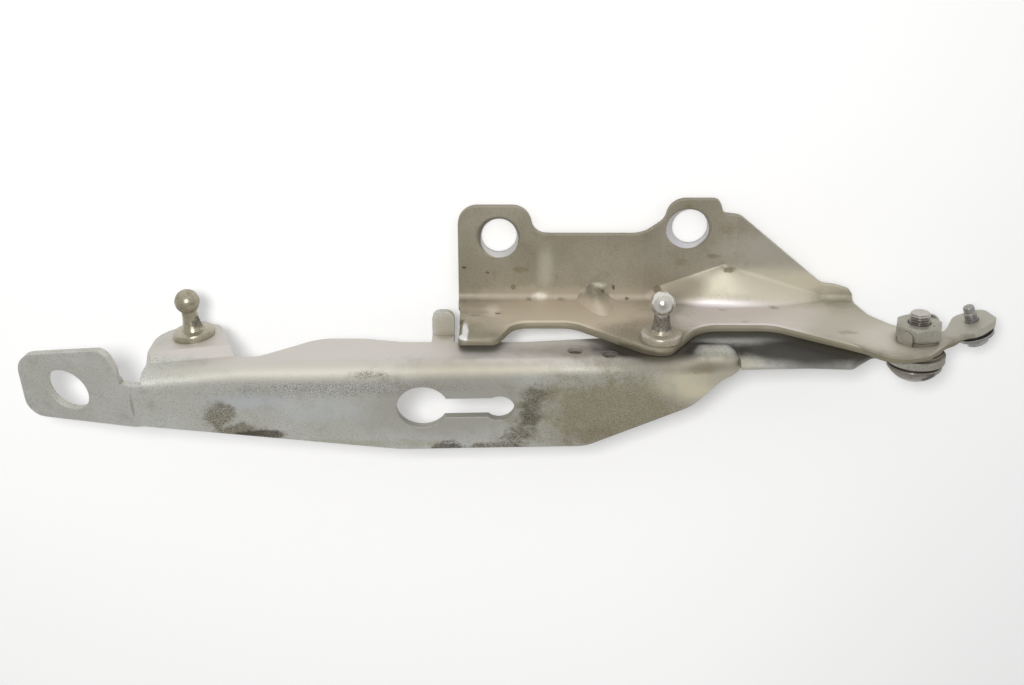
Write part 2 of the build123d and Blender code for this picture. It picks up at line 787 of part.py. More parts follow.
with BuildPart() as ear_rubber_washer:
    add(ring(outer_plane(-sheet), rubber_washer_radius, outer_shank_radius, -rubber_washer_thickness))
    rubber_rims = ear_rubber_washer.edges().filter_by(GeomType.CIRCLE).sort_by(SortBy.RADIUS)[-2:]
    fillet(rubber_rims, radius=rubber_washer_thickness * 0.3)

ear_rubber_washer.part.label = "ear_rubber_washer"
export_step(ear_rubber_washer.part, "parts/ear_rubber_washer.step")

ear_steel_washer = ring(
    outer_plane(steel_face), steel_washer_radius, outer_shank_radius, -steel_washer_thickness
)
ear_steel_washer.label = "ear_steel_washer"
export_step(ear_steel_washer, "parts/ear_steel_washer.step")

with BuildPart() as ear_screw:
    with BuildSketch(outer_plane(screw_seat)):
        RegularPolygon(outer_screw_flats / 2, 6, major_radius=False)
    extrude(amount=-outer_screw_head)
    with BuildSketch(outer_plane(screw_seat)):
        Circle(outer_shank_radius)
    extrude(amount=-screw_seat)
    with BuildSketch(outer_plane(0)):
        Circle(outer_screw_radius)
    extrude(amount=outer_screw_length)
    chamfer(ear_screw.faces().sort_by(Axis.Y)[-1].edges(), length=outer_screw_chamfer)

ear_screw.part.label = "ear_screw"
export_step(ear_screw.part, "parts/ear_screw.step")
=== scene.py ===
"""Bonnet hinge of a car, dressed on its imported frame. All lengths are in metres."""

import json
import math

import bpy
from mathutils import Matrix, Vector


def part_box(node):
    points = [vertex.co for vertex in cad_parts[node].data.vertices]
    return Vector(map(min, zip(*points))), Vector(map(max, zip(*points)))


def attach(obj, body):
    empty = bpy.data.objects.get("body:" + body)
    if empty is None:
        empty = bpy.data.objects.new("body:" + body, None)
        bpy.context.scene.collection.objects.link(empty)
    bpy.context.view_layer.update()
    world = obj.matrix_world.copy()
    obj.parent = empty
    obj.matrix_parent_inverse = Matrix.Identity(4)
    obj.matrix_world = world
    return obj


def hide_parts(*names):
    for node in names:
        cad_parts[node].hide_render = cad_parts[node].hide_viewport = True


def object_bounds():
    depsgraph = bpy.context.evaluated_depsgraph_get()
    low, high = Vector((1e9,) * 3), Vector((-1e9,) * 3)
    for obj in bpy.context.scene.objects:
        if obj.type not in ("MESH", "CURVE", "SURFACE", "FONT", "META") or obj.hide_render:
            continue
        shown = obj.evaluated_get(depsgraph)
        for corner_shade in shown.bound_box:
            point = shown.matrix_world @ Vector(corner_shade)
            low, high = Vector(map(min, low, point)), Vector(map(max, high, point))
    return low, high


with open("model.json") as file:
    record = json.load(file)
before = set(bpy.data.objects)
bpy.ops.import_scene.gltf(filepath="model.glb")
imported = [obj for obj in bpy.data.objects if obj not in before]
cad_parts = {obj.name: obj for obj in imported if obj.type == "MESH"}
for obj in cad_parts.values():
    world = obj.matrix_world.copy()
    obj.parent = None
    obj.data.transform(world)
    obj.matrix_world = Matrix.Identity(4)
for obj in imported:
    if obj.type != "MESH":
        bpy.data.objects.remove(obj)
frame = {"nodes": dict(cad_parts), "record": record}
cad_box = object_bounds()

# Camera.
# The hinge is photographed from above and a little from its outer side, from about 60 cm.
camera_tilt = math.radians(-24)
camera_data = bpy.data.cameras.new("camera")
camera_data.sensor_width = 36.0
camera_data.lens = 49.2
camera = bpy.data.objects.new("camera", camera_data)
camera.location = (-0.0341, 0.1937, 0.5502)
camera.rotation_euler = (camera_tilt, 0, 0)
bpy.context.scene.collection.objects.link(camera)
bpy.context.scene.camera = camera
bpy.context.scene.view_settings.view_transform = "Standard"

# Light.
# A small lamp close beside the camera, so that its shadows hide behind the hinge, in a soft white room.
# The room is darker straight above, and brighter to the outer side and to the rear of the car.


def add_node(material, kind, sockets=None, **settings):
    """New shader node with its settings, its sockets given by name or number as values or links."""
    made = material.node_tree.nodes.new("ShaderNode" + kind)
    for name, value in settings.items():
        setattr(made, name, value)
    for socket, value in (sockets or {}).items():
        if isinstance(value, bpy.types.NodeSocket):
            material.node_tree.links.new(value, made.inputs[socket])
        else:
            made.inputs[socket].default_value = value
    return made


def noise(material, place, scale, detail=3.0, roughness=0.5):
    """Even cloudy noise from 0 to 1, with scale features in a metre."""
    sockets = {"Vector": place, "Scale": scale, "Detail": detail, "Roughness": roughness}
    return add_node(material, "TexNoise", sockets).outputs["Fac"]


def ramp(material, value, low, high):
    """Smooth share that is 0 at low and 1 at high."""
    sockets = {"Value": value, "From Min": low, "From Max": high}
    return add_node(material, "MapRange", sockets, interpolation_type="SMOOTHSTEP").outputs["Result"]


def calc(material, operation, first, second):
    """Result of one operation on two values or links."""
    return add_node(material, "Math", {0: first, 1: second}, operation=operation).outputs[0]


def tint(material, share, under, over):
    """Colour under another one that covers it by a share."""
    return add_node(material, "Mix", {0: share, 6: under, 7: over}, data_type="RGBA").outputs[2]


key_data = bpy.data.lights.new("key", "AREA")
key_data.size = 0.10
key_data.energy = 2.9
key_aim = Vector((-0.03, -0.03, 0.02))
key = bpy.data.objects.new("key", key_data)
key.location = (-0.10, 0.27, 0.66)
key.rotation_euler = (key_aim - key.location).to_track_quat("-Z", "Y").to_euler()
bpy.context.scene.collection.objects.link(key)

room = bpy.data.worlds.new("room")
room.use_nodes = True
room_light = room.node_tree.nodes["Background"]
room_base = 0.33
room_direction = add_node(room, "TexCoord").outputs["Generated"]
rearward, outward, upward = add_node(room, "SeparateXYZ", {0: room_direction}).outputs
low_walls = calc(room, "MULTIPLY", ramp(room, upward, 0.97, 0.6), 0.28)
outer_wall = calc(room, "MULTIPLY", ramp(room, outward, 0.35, 0.9), 0.27)
rear_wall = calc(room, "MULTIPLY", ramp(room, rearward, 0.2, 0.8), 0.12)
outer_level = calc(room, "ADD", low_walls, outer_wall)
rear_level = calc(room, "ADD", rear_wall, room_base)
room_level = calc(room, "ADD", outer_level, rear_level)
room_light.inputs["Color"].default_value = (0.985, 0.99, 1.0, 1)
room.node_tree.links.new(room_level, room_light.inputs["Strength"])
bpy.context.scene.world = room

# Floor.
# A plain white sheet under the hinge, a little whiter towards the inner front, where less light falls.
# A faint glow that only the camera and reflections see keeps it white, and it still takes the soft shadow.
paper_gap = 0.0003
paper_glow = 0.085
paper_white = (0.85, 0.85, 0.84, 1)
front_white = (0.945, 0.94, 0.93, 1)
paper = bpy.data.materials.new("paper")
paper.use_nodes = True
paper_shader = paper.node_tree.nodes["Principled BSDF"]
paper_shader.inputs["Roughness"].default_value = 0.9
paper_shader.inputs["Specular IOR Level"].default_value = 0.1
paper_place = add_node(paper, "TexCoord").outputs["Object"]
paper_x, paper_y, _ = add_node(paper, "SeparateXYZ", {0: paper_place}).outputs
paper_front = calc(paper, "SUBTRACT", 1.0, ramp(paper, paper_x, 0.0, 0.26))
paper_share = calc(paper, "MULTIPLY", ramp(paper, paper_y, 0.22, -0.12), paper_front)
paper_colour = tint(paper, paper_share, paper_white, front_white)
paper.node_tree.links.new(paper_colour, paper_shader.inputs["Base Color"])
seen = add_node(paper, "LightPath").outputs
reflected = calc(paper, "MAXIMUM", seen["Is Glossy Ray"], seen["Is Transmission Ray"])
directly = calc(paper, "MAXIMUM", seen["Is Camera Ray"], reflected)
glow = calc(paper, "MULTIPLY", directly, paper_glow)
paper.node_tree.links.new(glow, paper_shader.inputs["Emission Strength"])
paper_shader.inputs["Emission Color"].default_value = (1.0, 0.995, 0.985, 1)

bpy.ops.object.select_all(action="DESELECT")
bpy.ops.mesh.primitive_plane_add(size=6.0, location=(0, 0, cad_box[0].z - paper_gap))
floor = bpy.context.object
floor.name = "floor"
floor.data.materials.append(paper)

# Body bracket.
# Pressed from 3 mm sheet in one piece: bolt flange, upright plate, darts and outer ear.
# It has a warm grey coat with scuffs, greasy around the ball stud, and painted light on its raised places,
# upright and long dart.


def patch(material, place, middle, size, edge, wavy, ragged):
    """Share of a rounded patch, from 0 at its half sizes to 1 inside edge, its rim ragged by a noise."""
    sockets = {"Vector": place, "Location": middle, "Scale": size}
    inside = add_node(material, "Mapping", sockets, vector_type="TEXTURE").outputs[0]
    away = add_node(material, "VectorMath", {0: inside}, operation="LENGTH").outputs["Value"]
    shift = calc(material, "MULTIPLY", calc(material, "SUBTRACT", wavy, 0.5), 2 * ragged)
    return ramp(material, calc(material, "ADD", away, shift), 1.0, edge)


def coated_steel(
    name, main, pale, dark, stains_and_light, roughness, metallic=0.6, worn_share=0.35, grit=0.5
):
    """Coated steel: cloudy colour, fine specks, stains, pale worn edges and painted shade in the corners.

    A stain, or a patch of painted light and shade, has its middle, half sizes, colour, strength, edge,
    raggedness, speckle and dullness.
    """
    wide_mark = 0.008
    edge_round = 0.0004
    corner_reach = 0.006
    grain_height = 0.00006
    material = bpy.data.materials.new(name)
    material.use_nodes = True
    shader = material.node_tree.nodes["Principled BSDF"]
    place = add_node(material, "TexCoord").outputs["Object"]
    coarse = noise(material, place, 150.0, 5.0, 0.65)
    fine = noise(material, place, 560.0, 4.0, 0.65)
    grains = noise(material, place, 1900.0, 2.0, 0.6)
    clouds = ramp(material, noise(material, place, 26.0, 5.0, 0.6), 0.35, 0.68)
    colour = tint(material, clouds, main, pale)
    mottle = ramp(material, coarse, 0.5, 0.8)
    colour = tint(material, calc(material, "MULTIPLY", mottle, 0.35), colour, dark)
    dirt = calc(material, "MULTIPLY", ramp(material, grains, 0.52, 0.70), grit)
    colour = tint(material, dirt, colour, dark)
    flecks = ramp(material, grains, 0.44, 0.56)
    for middle, size, mark_colour, strength, edge, ragged, speckle, dull in stains_and_light:
        wavy = coarse if max(size) > wide_mark else fine
        share = patch(material, place, middle, size, edge, wavy, ragged)
        cover = calc(material, "MULTIPLY", share, strength)
        if speckle:
            broken = calc(material, "MULTIPLY_ADD", flecks, speckle)
            broken.node.inputs[2].default_value = 1 - speckle
            cover = calc(material, "MULTIPLY", cover, broken)
        colour = tint(material, cover, colour, mark_colour)
        if dull:
            dirt = calc(material, "MAXIMUM", dirt, calc(material, "MULTIPLY", cover, dull))
    rounded = add_node(material, "Bevel", {"Radius": edge_round}, samples=4).outputs[0]
    facing = add_node(material, "NewGeometry").outputs["Normal"]
    both = {0: rounded, 1: facing}
    aligned = add_node(material, "VectorMath", both, operation="DOT_PRODUCT").outputs["Value"]
    worn = calc(material, "MULTIPLY", ramp(material, aligned, 0.985, 0.9), worn_share)
    colour = tint(material, worn, colour, pale)
    # painted shade: the colour darkens where ambient occlusion finds corners and crevices
    open_sky = add_node(material, "AmbientOcclusion", {"Distance": corner_reach}, samples=8).outputs["AO"]
    corner_shade = calc(material, "MULTIPLY", ramp(material, open_sky, 0.75, 0.25), 0.7)
    colour = tint(material, corner_shade, colour, dark)
    material.node_tree.links.new(colour, shader.inputs["Base Color"])
    metal = calc(material, "MULTIPLY_ADD", dirt, -0.8 * metallic)
    metal.node.inputs[2].default_value = metallic
    material.node_tree.links.new(metal, shader.inputs["Metallic"])
    gloss = calc(material, "MULTIPLY_ADD", dirt, 0.25)
    gloss.node.inputs[2].default_value = roughness
    material.node_tree.links.new(gloss, shader.inputs["Roughness"])
    grain = {"Height": grains, "Normal": rounded, "Distance": grain_height, "Strength": 0.5}
    bump = add_node(material, "Bump", grain)
    material.node_tree.links.new(bump.outputs[0], shader.inputs["Normal"])
    return material


tan_edge = (0.215, 0.19, 0.13, 1)
brown = (0.15, 0.11, 0.065, 1)
olive = (0.17, 0.145, 0.07, 1)
# near black, used for soot specks and for painted shade in the arm's small holes
soot_and_shade = (0.05, 0.04, 0.025, 1)
bracket_stains_and_light = (
    # tones, partly painted light: four along the upright, the outer ear, the long dart, two on the flange,
    # the bend
    # the upright is painted lighter than the flange, in part as painted light
    ((-0.012, -0.0295, 0.018), (0.055, 0.005, 0.032), (0.62, 0.535, 0.42, 1), 0.9, 0.4, 0.2, 0, 0),
    # painted reflection, lighter and lavender, on the right of the upright
    ((0.064, -0.0295, 0.022), (0.044, 0.005, 0.030), (0.68, 0.62, 0.585, 1), 0.9, 0.5, 0.2, 0, 0),
    ((0.106, -0.0295, 0.034), (0.034, 0.006, 0.028), (0.46, 0.43, 0.35, 1), 0.9, 0.3, 0.2, 0, 0),
    ((0.120, -0.0290, 0.045), (0.026, 0.006, 0.022), (0.57, 0.54, 0.465, 1), 0.85, 0.4, 0.2, 0, 0),
    ((0.151, -0.0270, 0.036), (0.017, 0.012, 0.016), (0.44, 0.42, 0.36, 1), 0.9, 0.7, 0.1, 0, 0),
    # painted light on the long dart
    ((0.078, -0.0215, 0.0070), (0.046, 0.011, 0.010), (0.60, 0.56, 0.44, 1), 0.92, 0.45, 0.2, 0, 0),
    ((0.080, -0.0080, 0.003), (0.036, 0.012, 0.005), (0.42, 0.40, 0.335, 1), 0.8, 0.4, 0.3, 0, 0),
    ((0.037, -0.0240, 0.005), (0.016, 0.008, 0.007), (0.26, 0.225, 0.16, 1), 0.8, 0.3, 0.4, 0, 0.4),
    ((-0.010, -0.0272, 0.0035), (0.058, 0.0042, 0.0044), (0.36, 0.315, 0.24, 1), 0.82, 0.4, 0.8, 0, 0.7),
    # painted highlights on bumps of the bend, the flange's step, the bead and the lip's edge; specks in the
    # bend
    ((-0.0223, -0.0282, 0.0035), (0.0046, 0.0026, 0.0032), (0.70, 0.67, 0.58, 1), 0.8, 0.2, 0.5, 0, 0),
    ((-0.0020, -0.0262, 0.0035), (0.0042, 0.0022, 0.0032), (0.72, 0.69, 0.60, 1), 0.8, 0.2, 0.4, 0, 0),
    ((0.0022, -0.0232, 0.0040), (0.0042, 0.0018, 0.0032), (0.72, 0.69, 0.60, 1), 0.8, 0.2, 0.4, 0, 0),
    ((0.0075, -0.0285, 0.0080), (0.0016, 0.0050, 0.0070), (0.66, 0.60, 0.50, 1), 0.6, 0.1, 0.3, 0, 0),
    ((-0.0200, -0.0165, 0.0030), (0.0052, 0.0145, 0.0030), (0.43, 0.405, 0.325, 1), 0.8, 0.1, 0.3, 0, 0),
    ((-0.0422, -0.0290, 0.0170), (0.0050, 0.0024, 0.0090), (0.76, 0.72, 0.64, 1), 0.75, 0.1, 0.5, 0, 0),
    ((-0.0534, -0.0300, 0.0390), (0.0024, 0.0040, 0.0125), (0.80, 0.79, 0.77, 1), 0.85, 0.6, 0.2, 0, 0),
    ((-0.0270, -0.0290, 0.0050), (0.0016, 0.0014, 0.0016), soot_and_shade, 0.6, 0.4, 0.9, 0.3, 1),
    ((-0.0135, -0.0290, 0.0050), (0.0022, 0.0012, 0.0014), olive, 0.7, 0.4, 0.9, 0.3, 1),
    ((-0.0490, -0.0295, 0.0215), (0.0040, 0.0016, 0.0012), soot_and_shade, 0.55, 0.3, 0.9, 0.7, 1),
    # rims of the bolt holes, dark outside and bare inside
    ((-0.0395, -0.0020, 0.002), (0.0093, 0.0093, 0.004), (0.13, 0.12, 0.105, 1), 0.75, 0.93, 0.06, 0, 0.5),
    ((-0.0392, -0.0034, 0.002), (0.0083, 0.0083, 0.004), (0.60, 0.59, 0.58, 1), 0.85, 0.93, 0.06, 0, 0),
    ((0.0388, 0.0016, 0.002), (0.0101, 0.0097, 0.004), (0.17, 0.15, 0.125, 1), 0.6, 0.93, 0.06, 0, 0.5),
    ((0.0383, 0.0012, 0.002), (0.0093, 0.0088, 0.004), (0.62, 0.61, 0.63, 1), 0.85, 0.93, 0.06, 0, 0),
    # brown dirt on the edge of the outer ear and on the flange between the darts
    ((0.1480, -0.0310, 0.0420), (0.008, 0.0036, 0.0070), (0.13, 0.10, 0.06, 1), 0.75, 0.3, 0.7, 0.4, 1),
    ((0.0228, -0.0208, 0.003), (0.014, 0.009, 0.003), (0.25, 0.205, 0.14, 1), 0.5, 0.2, 0.5, 0.3, 0.4),
    # painted highlight: the bright strip of the upright; cut edges, which are darkest at the lobe
    ((0.056, -0.0295, 0.0108), (0.0185, 0.003, 0.0030), (0.76, 0.72, 0.72, 1), 0.8, 0.5, 0.1, 0, 0),
    ((0.030, -0.0334, 0.030), (0.17, 0.0036, 0.075), tan_edge, 0.92, 0.94, 0.03, 0, 0.4),
    ((0.013, -0.0325, 0.053), (0.026, 0.0028, 0.012), (0.075, 0.058, 0.036, 1), 0.9, 0.5, 0.3, 0, 0.8),
    # grime round the ball stud
    ((0.010, -0.0295, 0.036), (0.014, 0.003, 0.012), brown, 0.75, 0.2, 0.6, 0.7, 1),
    ((0.020, -0.0295, 0.029), (0.012, 0.003, 0.007), (0.20, 0.15, 0.09, 1), 0.6, 0.2, 0.6, 0.6, 1),
    # marks of the flange
    ((-0.0306, -0.0165, 0.003), (0.0040, 0.0018, 0.002), olive, 0.75, 0.5, 0.6, 0.2, 1),
    ((-0.0541, -0.0156, 0.003), (0.0011, 0.0008, 0.002), soot_and_shade, 0.85, 0.6, 0.5, 0, 1),
    ((-0.0443, -0.0179, 0.003), (0.0009, 0.0007, 0.002), soot_and_shade, 0.7, 0.5, 0.5, 0, 1),
    ((-0.0337, -0.0244, 0.003), (0.0013, 0.0015, 0.002), olive, 0.85, 0.6, 0.5, 0, 1),
    ((0.0085, -0.0242, 0.003), (0.0009, 0.0017, 0.002), soot_and_shade, 0.8, 0.6, 0.5, 0, 1),
    ((0.0037, -0.0260, 0.003), (0.0014, 0.0010, 0.003), soot_and_shade, 0.85, 0.6, 0.5, 0, 1),
    ((0.0142, -0.0293, 0.003), (0.0016, 0.0012, 0.003), soot_and_shade, 0.8, 0.6, 0.5, 0, 1),
    ((0.0270, -0.0255, 0.003), (0.0022, 0.0026, 0.003), brown, 0.85, 0.6, 0.6, 0, 1),
    ((0.0364, -0.0131, 0.003), (0.0036, 0.0024, 0.002), olive, 0.6, 0.3, 0.7, 0.3, 1),
    ((0.0497, -0.0105, 0.003), (0.0036, 0.0013, 0.002), brown, 0.65, 0.5, 0.6, 0.2, 1),
    ((0.0562, -0.0162, 0.004), (0.0036, 0.0015, 0.003), brown, 0.85, 0.5, 0.5, 0.2, 1),
    ((0.0385, 0.0113, 0.003), (0.0030, 0.0013, 0.002), olive, 0.75, 0.4, 0.6, 0.2, 1),
    ((0.0546, 0.0016, 0.003), (0.0040, 0.0036, 0.003), olive, 0.6, 0.3, 0.7, 0.4, 1),
    # scuffs of the upright
    ((0.0748, -0.0295, 0.0135), (0.0028, 0.002, 0.0022), (0.17, 0.15, 0.12, 1), 0.8, 0.3, 0.9, 0.7, 1),
    ((0.0994, -0.0295, 0.0391), (0.0046, 0.002, 0.0026), (0.20, 0.18, 0.14, 1), 0.7, 0.3, 0.9, 0.7, 1),
    ((0.0605, -0.0295, 0.0283), (0.0026, 0.002, 0.0016), (0.30, 0.24, 0.24, 1), 0.5, 0.3, 0.8, 0.5, 1),
    ((0.0529, -0.0295, 0.0155), (0.0028, 0.002, 0.0014), (0.30, 0.29, 0.31, 1), 0.6, 0.3, 0.8, 0.3, 1),
    ((-0.0400, -0.0295, 0.0195), (0.0016, 0.002, 0.0012), soot_and_shade, 0.7, 0.4, 0.5, 0, 1),
)
bracket_coat = coated_steel(
    "bracket_coat",
    (0.275, 0.248, 0.183, 1),
    (0.35, 0.32, 0.25, 1),
    (0.15, 0.125, 0.085, 1),
    bracket_stains_and_light,
    roughness=0.53,
)
body_bracket = frame["nodes"]["body_bracket"]
body_bracket.data.materials.clear()
body_bracket.data.materials.append(bracket_coat)

# Bonnet arm.
# Pressed from 3 mm sheet in one piece: web with keyhole, side plate, tab, lug and ear.
# It has a cool grey coat with olive and brown stains on the web, a painted highlight along the fold and
# painted shade under the bracket.
arm_stains_and_light = (
    # tones, some painted light: side plate, fold, web, cool bloom, olive rear half, its brown foot, the toe
    # side plate painted lighter, in part as painted light
    ((-0.085, -0.0345, 0.046), (0.140, 0.0045, 0.030), (0.58, 0.545, 0.505, 1), 0.9, 0.6, 0.1, 0, 0),
    # painted highlight along the fold, broad and cream
    ((-0.085, -0.0385, 0.0575), (0.130, 0.0055, 0.010), (0.52, 0.50, 0.43, 1), 0.8, 0.3, 0.2, 0, 0.45),
    ((-0.056, -0.0550, 0.054), (0.052, 0.027, 0.012), (0.36, 0.345, 0.295, 1), 0.75, 0.4, 0.4, 0, 0),
    ((-0.1376, -0.0512, 0.057), (0.024, 0.007, 0.006), (0.47, 0.49, 0.51, 1), 0.7, 0.2, 0.5, 0.2, 0.3),
    ((-0.1080, -0.0560, 0.0555), (0.024, 0.009, 0.006), (0.48, 0.50, 0.50, 1), 0.6, 0.2, 0.5, 0.2, 0.3),
    ((0.008, -0.0590, 0.051), (0.054, 0.031, 0.016), (0.205, 0.18, 0.095, 1), 0.92, 0.3, 0.5, 0.25, 0.5),
    ((-0.002, -0.0720, 0.048), (0.030, 0.011, 0.009), (0.19, 0.145, 0.08, 1), 0.65, 0.0, 0.6, 0.5, 0.8),
    ((0.042, -0.0450, 0.053), (0.026, 0.015, 0.010), (0.60, 0.555, 0.41, 1), 0.92, 0.3, 0.3, 0, 0),
    ((0.053, -0.0405, 0.0535), (0.020, 0.0110, 0.0085), (0.41, 0.385, 0.30, 1), 0.85, 0.3, 0.3, 0, 0.3),
    # dense specks under the fold and greenish dirt along the lower edge
    ((-0.100, -0.0460, 0.057), (0.080, 0.0055, 0.006), (0.13, 0.12, 0.10, 1), 0.55, 0.2, 0.6, 0.95, 1),
    ((-0.0905, -0.0395, 0.0585), (0.011, 0.0026, 0.004), (0.12, 0.105, 0.08, 1), 0.8, 0.3, 0.7, 0.8, 1),
    ((-0.110, -0.0735, 0.0515), (0.075, 0.0035, 0.006), (0.27, 0.27, 0.17, 1), 0.7, 0.2, 0.7, 0.4, 1),
    # rust and dirt patches
    ((-0.1500, -0.0575, 0.056), (0.0080, 0.0085, 0.006), (0.115, 0.10, 0.055, 1), 0.95, 0.5, 0.8, 0.5, 1),
    ((-0.1430, -0.0660, 0.054), (0.0120, 0.0055, 0.005), (0.11, 0.095, 0.05, 1), 0.95, 0.5, 0.7, 0.4, 1),
    ((-0.1350, -0.0680, 0.053), (0.0130, 0.0033, 0.005), (0.05, 0.04, 0.02, 1), 0.97, 0.6, 0.5, 0.2, 1),
    ((-0.0600, -0.0760, 0.0485), (0.0075, 0.0042, 0.006), soot_and_shade, 0.95, 0.5, 0.9, 0.3, 1),
    ((-0.0400, -0.0765, 0.048), (0.0180, 0.0036, 0.006), (0.09, 0.07, 0.04, 1), 0.9, 0.4, 0.9, 0.5, 1),
    ((-0.0247, -0.0500, 0.0535), (0.0075, 0.0060, 0.006), (0.085, 0.072, 0.04, 1), 0.9, 0.3, 0.8, 0.45, 1),
    ((-0.0270, -0.0600, 0.0515), (0.0065, 0.0105, 0.006), (0.065, 0.055, 0.03, 1), 0.93, 0.3, 0.8, 0.4, 1),
    ((-0.0325, -0.0710, 0.0495), (0.0080, 0.0060, 0.006), (0.085, 0.065, 0.035, 1), 0.9, 0.3, 0.9, 0.5, 1),
    ((0.0407, -0.0388, 0.0535), (0.0075, 0.0034, 0.004), (0.27, 0.195, 0.085, 1), 0.8, 0.3, 0.8, 0.5, 1),
    ((-0.1834, -0.0535, 0.0585), (0.0010, 0.0080, 0.004), (0.20, 0.19, 0.15, 1), 0.6, 0.3, 0.4, 0, 1),
    ((-0.1880, -0.0310, 0.063), (0.0030, 0.0020, 0.003), soot_and_shade, 0.8, 0.4, 0.7, 0.3, 1),
    # the lug; painted shade under the bracket, in the two small holes and on the nose; grime round the eye
    ((-0.0602, -0.0340, 0.0220), (0.0090, 0.012, 0.0130), (0.38, 0.35, 0.275, 1), 0.85, 0.5, 0.3, 0, 0),
    ((-0.040, -0.0375, 0.0565), (0.050, 0.0050, 0.0060), (0.42, 0.385, 0.30, 1), 0.65, 0.3, 0.3, 0, 0.3),
    ((0.006, -0.0350, 0.0440), (0.062, 0.005, 0.0110), (0.26, 0.235, 0.195, 1), 0.75, 0.3, 0.3, 0, 0.4),
    ((0.032, -0.0345, 0.0430), (0.044, 0.004, 0.0120), (0.014, 0.011, 0.008, 1), 0.97, 0.6, 0.15, 0, 0.8),
    ((-0.0089, -0.0377, 0.0435), (0.0038, 0.0021, 0.0038), soot_and_shade, 0.95, 0.8, 0.05, 0, 1),
    ((0.0046, -0.0377, 0.0468), (0.0038, 0.0021, 0.0038), soot_and_shade, 0.95, 0.8, 0.05, 0, 1),
    ((0.028, -0.0375, 0.0530), (0.040, 0.0050, 0.0070), (0.21, 0.19, 0.145, 1), 0.8, 0.3, 0.2, 0, 0.5),
    ((0.086, -0.0370, 0.0560), (0.036, 0.0060, 0.0070), (0.21, 0.20, 0.175, 1), 0.8, 0.2, 0.15, 0, 0.4),
    ((0.086, -0.0355, 0.0430), (0.040, 0.0050, 0.0165), (0.028, 0.024, 0.018, 1), 0.95, 0.5, 0.1, 0, 0.8),
    ((0.1295, -0.0375, 0.052), (0.016, 0.004, 0.016), (0.16, 0.13, 0.09, 1), 0.7, 0.5, 0.4, 0.3, 0.8),
)
arm_coat = coated_steel(
    "arm_coat",
    (0.495, 0.49, 0.44, 1),
    (0.575, 0.575, 0.54, 1),
    (0.18, 0.165, 0.12, 1),
    arm_stains_and_light,
    roughness=0.55,
    grit=0.6,
)
bonnet_arm = frame["nodes"]["bonnet_arm"]
bonnet_arm.data.materials.clear()
bonnet_arm.data.materials.append(arm_coat)

# Pivot bolt.
# Steel shoulder bolt with a domed head; its fine thread stands above the nut.
# The dome is polished by handling and has a dark oily patch at its lower edge.


def turned(name, steps, sides=64):
    """Turned solid along Z from its lowest to its highest step, each a height and a radius."""
    height, radius = steps[0]
    bpy.ops.object.select_all(action="DESELECT")
    bpy.ops.mesh.primitive_circle_add(
        vertices=sides, radius=radius, fill_type="NGON", location=(0, 0, height)
    )
    piece = bpy.context.object
    piece.name = name
    bpy.ops.object.mode_set(mode="EDIT")
    bpy.ops.mesh.select_all(action="SELECT")
    for next_height, next_radius in steps[1:]:
        bpy.ops.mesh.extrude_region_move(TRANSFORM_OT_translate={"value": (0, 0, next_height - height)})
        share = next_radius / radius
        bpy.ops.transform.resize(value=(share, share, 1), center_override=(0, 0, next_height))
        height, radius = next_height, next_radius
    bpy.ops.mesh.select_all(action="SELECT")
    bpy.ops.mesh.normals_make_consistent(inside=False)
    bpy.ops.object.mode_set(mode="OBJECT")
    bpy.ops.object.transform_apply(location=True, rotation=True, scale=True)
    return piece


def cut(piece, tool, operation="DIFFERENCE"):
    """Cuts, trims or joins a piece with a tool, which is used up."""
    shape = piece.modifiers.new("cut", "BOOLEAN")
    shape.object = tool
    shape.operation = operation
    shape.solver = "EXACT"
    bpy.ops.object.select_all(action="DESELECT")
    bpy.context.view_layer.objects.active = piece
    bpy.ops.object.modifier_apply(modifier=shape.name)
    bpy.data.objects.remove(tool)


def threaded(name, outer, pitch, low, high, chamfer):
    """Right-hand thread along Z between two heights, with a chamfer at its upper end."""
    flank = 0.38
    flat = 0.12
    merge_distance = 0.00001
    root = outer - 0.61 * pitch
    bpy.ops.object.select_all(action="DESELECT")
    bpy.ops.mesh.primitive_plane_add(size=pitch, location=(0, 0, 0))
    piece = bpy.context.object
    piece.name = name
    bpy.ops.object.mode_set(mode="EDIT")
    bpy.ops.mesh.select_all(action="SELECT")
    bpy.ops.mesh.merge(type="CENTER")
    bpy.ops.transform.translate(value=(root, 0, low - 2 * pitch))
    for turn in range(math.ceil((high - low) / pitch) + 5):
        for across, up in ((outer - root, flank), (0, flat), (root - outer, flank), (0, flat)):
            bpy.ops.mesh.extrude_vertices_move(TRANSFORM_OT_translate={"value": (across, 0, up * pitch)})
    bpy.ops.object.mode_set(mode="OBJECT")
    bpy.ops.object.transform_apply(location=True, rotation=True, scale=True)
    sweep = piece.modifiers.new("sweep", "SCREW")
    sweep.axis = "Z"
    sweep.angle = 2 * math.pi
    sweep.screw_offset = pitch
    sweep.steps = 48
    sweep.render_steps = 48
    bpy.ops.object.modifier_apply(modifier=sweep.name)
    bpy.ops.object.mode_set(mode="EDIT")
    bpy.ops.mesh.select_all(action="SELECT")
    bpy.ops.mesh.remove_doubles(threshold=merge_distance)
    bpy.ops.mesh.fill_holes(sides=0)
    bpy.ops.mesh.select_all(action="SELECT")
    bpy.ops.mesh.normals_make_consistent(inside=False)
    bpy.ops.object.mode_set(mode="OBJECT")
    rim = outer + 0.2 * pitch
    blank = turned(
        "blank",
        ((low, rim), (high - chamfer - 0.2 * pitch, rim), (high, outer - chamfer)),
    )
    cut(piece, blank, "INTERSECT")
    return piece


